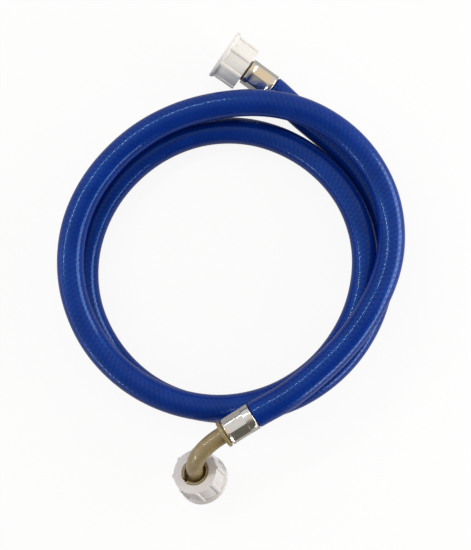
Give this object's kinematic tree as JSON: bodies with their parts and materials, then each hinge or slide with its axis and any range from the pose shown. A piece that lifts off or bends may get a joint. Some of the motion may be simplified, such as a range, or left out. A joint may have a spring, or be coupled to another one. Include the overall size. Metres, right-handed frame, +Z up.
{
  "type": "washing machine inlet hose",
  "caption": "Coiled flexible water hose with crimped ferrules and a swivel nut at each end, one end straight and one on a right-angle elbow.",
  "frame": {"origin": "centre of the bounding box at the level of the surface that the coil lies on", "axes": "+Z up from the surface, +Y across the coil from the elbow end to the straight end, +X to the right of +Y seen from above"},
  "size_m": [0.2133, 0.2939, 0.05],
  "materials": {
    "hose_blue": "glossy smooth blue PVC with the reinforcing braid faintly showing",
    "nut_white": "semi-matt moulded white plastic",
    "nylon_beige": "glossy beige nylon, slightly translucent",
    "crimp_metal": "bright plated metal, crimped",
    "washer_rubber": "matt black rubber"
  },
  "bodies": {
    "hose": {"hose": "hose_blue", "straight_ferrule": "crimp_metal", "straight_tail": "nylon_beige", "elbow_ferrule": "crimp_metal", "elbow_body": "nylon_beige"},
    "straight_washer": {"straight_washer": "washer_rubber"},
    "straight_nut": {"straight_nut": "nut_white"},
    "elbow_ring": {"elbow_split_ring": "nylon_beige", "elbow_washer": "washer_rubber"},
    "elbow_nut": {"elbow_nut": "nut_white"}
  },
  "joints": [
    {"name": "straight_nut_slide", "type": "slide", "parent": "hose", "child": "straight_washer", "axis": [-0.8145, 0.5697, 0.1099], "range_m": [0, 0.002]},
    {"name": "straight_nut_spin", "type": "hinge", "parent": "straight_washer", "child": "straight_nut", "pos_m": [-0.004, 0.1341, 0.0168], "axis": [-0.8145, 0.5697, 0.1099], "continuous": true},
    {"name": "elbow_nut_slide", "type": "slide", "parent": "hose", "child": "elbow_ring", "axis": [0.2938, -0.4672, -0.8339], "range_m": [0, 0.0015]},
    {"name": "elbow_nut_spin", "type": "hinge", "parent": "elbow_ring", "child": "elbow_nut", "pos_m": [-0.01665, -0.13296, 0.00873], "axis": [0.2938, -0.4672, -0.8339], "continuous": true}
  ]
}
